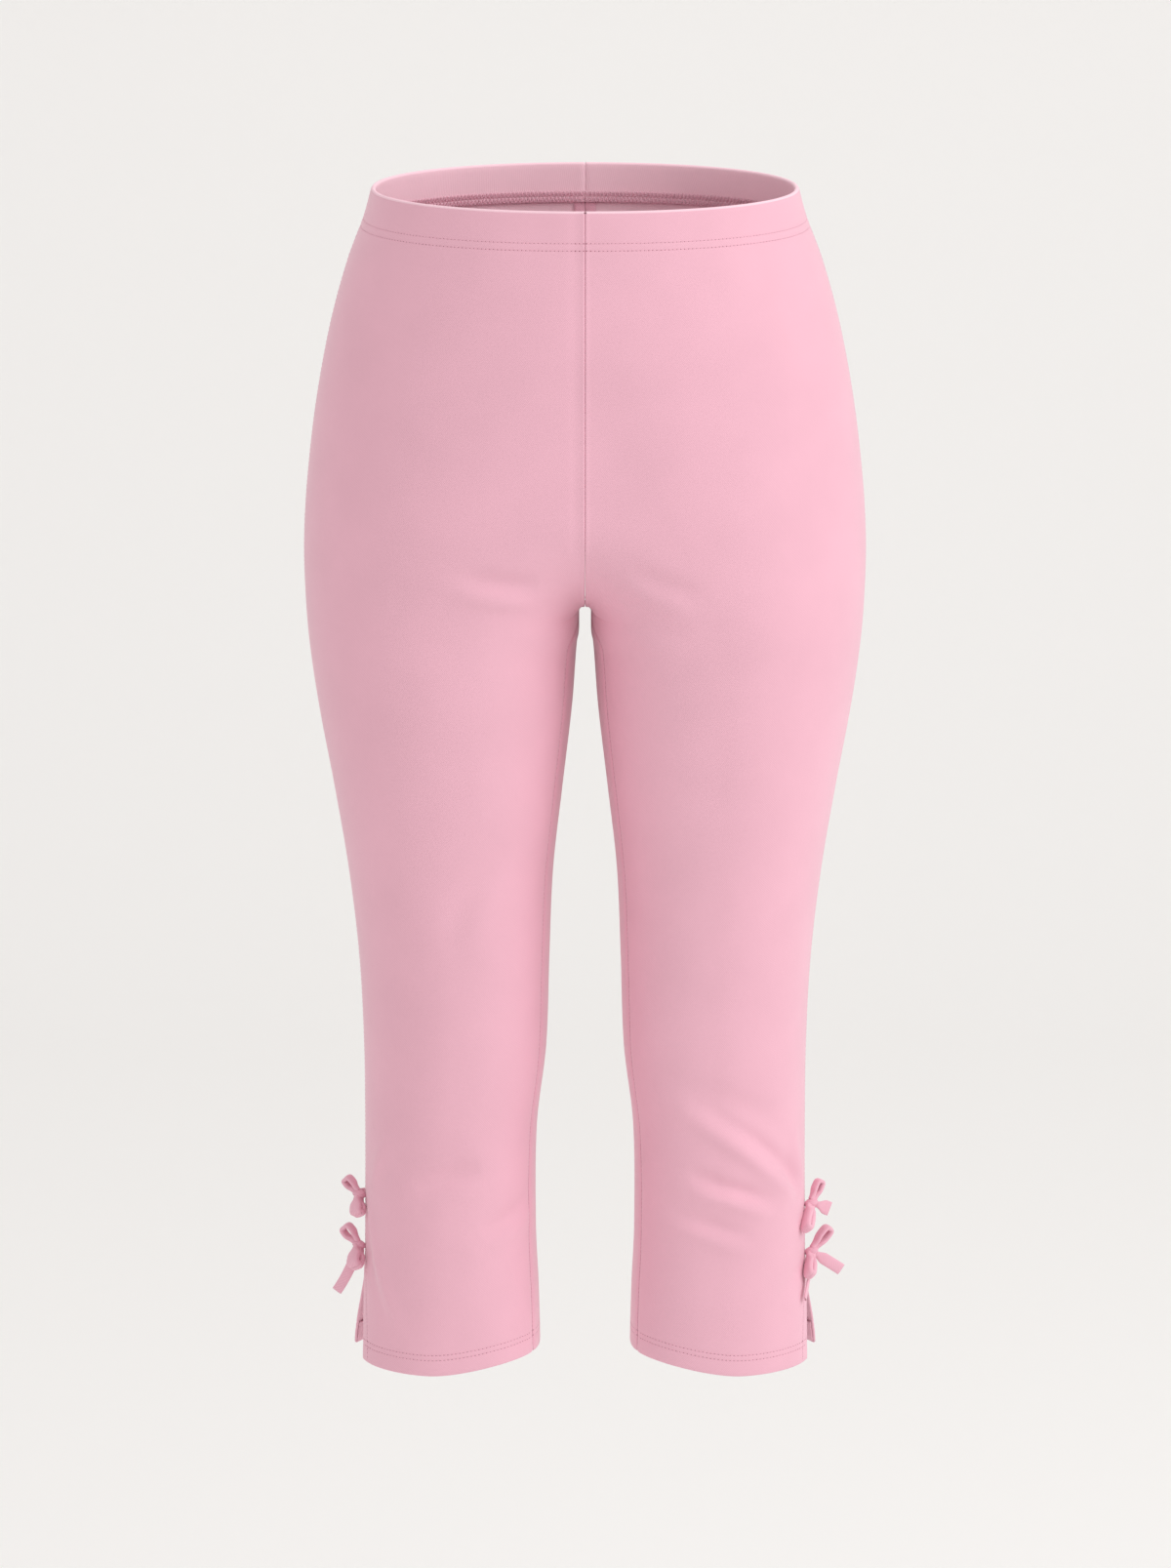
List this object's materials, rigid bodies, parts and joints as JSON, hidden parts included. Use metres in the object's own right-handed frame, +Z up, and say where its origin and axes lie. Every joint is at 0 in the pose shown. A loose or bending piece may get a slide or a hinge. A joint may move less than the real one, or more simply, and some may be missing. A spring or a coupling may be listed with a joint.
{
  "type": "capri pants",
  "caption": "Pull-on high-rise capri pants in pink stretch knit, filled out and hollow, with a turned-in elastic waist and tied slits at the side hems.",
  "frame": {"origin": "middle of the waist opening, level with the side seams' tops, where the wearer holds it up", "axes": "+Z up, -Y to the front of the garment, +X to the wearer's left"},
  "size_m": [0.365, 0.238, 0.7887],
  "materials": {
    "cloth": "matte stretch knit with a very fine diagonal rib",
    "turned_cloth": "matte inner face of the same knit",
    "tie": "matte turned tube of the same knit"
  },
  "bodies": {
    "root": {"front_left": "cloth", "back_left": "cloth", "front_right": "cloth", "back_right": "cloth", "casing_front_left": "turned_cloth", "casing_back_left": "turned_cloth", "casing_front_right": "turned_cloth", "casing_back_right": "turned_cloth", "hem_front_left": "turned_cloth", "hem_back_left": "turned_cloth", "hem_front_right": "turned_cloth", "hem_back_right": "turned_cloth", "slit_edge_front_left": "turned_cloth", "slit_edge_back_left": "turned_cloth", "slit_edge_front_right": "turned_cloth", "slit_edge_back_right": "turned_cloth", "knot_left_upper": "tie", "loop_back_left_upper": "tie", "loop_front_left_upper": "tie", "tail_front_left_upper": "tie", "tail_back_left_upper": "tie", "knot_left_lower": "tie", "loop_back_left_lower": "tie", "loop_front_left_lower": "tie", "tail_front_left_lower": "tie", "tail_back_left_lower": "tie", "knot_right_upper": "tie", "loop_back_right_upper": "tie", "loop_front_right_upper": "tie", "tail_front_right_upper": "tie", "tail_back_right_upper": "tie", "knot_right_lower": "tie", "loop_back_right_lower": "tie", "loop_front_right_lower": "tie", "tail_front_right_lower": "tie", "tail_back_right_lower": "tie"}
  },
  "joints": []
}
